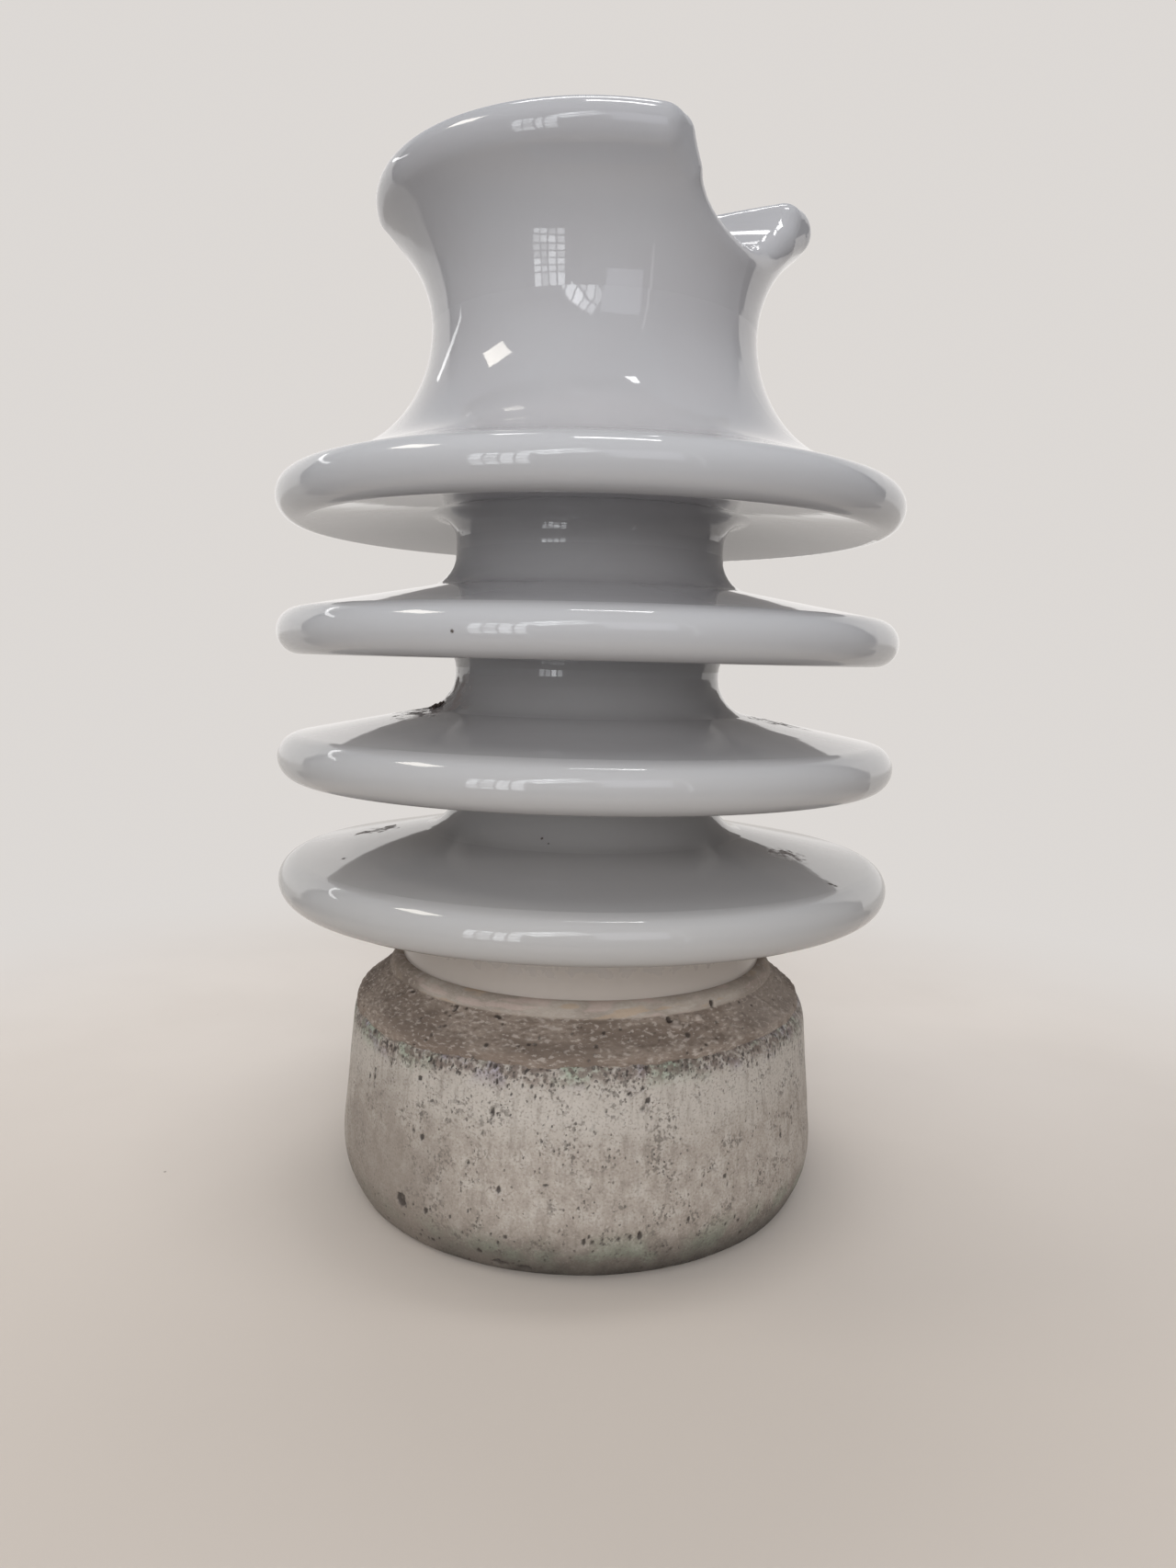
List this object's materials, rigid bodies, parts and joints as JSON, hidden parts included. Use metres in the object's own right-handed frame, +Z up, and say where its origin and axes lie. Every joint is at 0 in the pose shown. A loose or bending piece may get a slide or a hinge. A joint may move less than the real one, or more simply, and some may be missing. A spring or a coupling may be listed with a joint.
{
  "type": "line post insulator",
  "caption": "Glazed porcelain line post insulator with round sheds, a waisted neck and a saddle groove in its head, cemented into a galvanised cast cup with a tapped stud hole.",
  "frame": {"origin": "centre of the cup's underside", "axes": "+Z up along the insulator's axis, from the cup to the head; +X along the saddle groove"},
  "size_m": [0.143, 0.143, 0.229],
  "materials": {
    "porcelain_glaze": "glossy sky-grey glaze over fired porcelain",
    "portland_cement": "rough brown-grey cement",
    "cushion_rubber": "matt",
    "galvanised_iron": "hot-dip galvanised casting, mottled and pitted"
  },
  "bodies": {
    "root": {"porcelain_body": "porcelain_glaze", "cement_joint": "portland_cement", "end_cushion": "cushion_rubber", "base_cap": "galvanised_iron"}
  },
  "joints": []
}
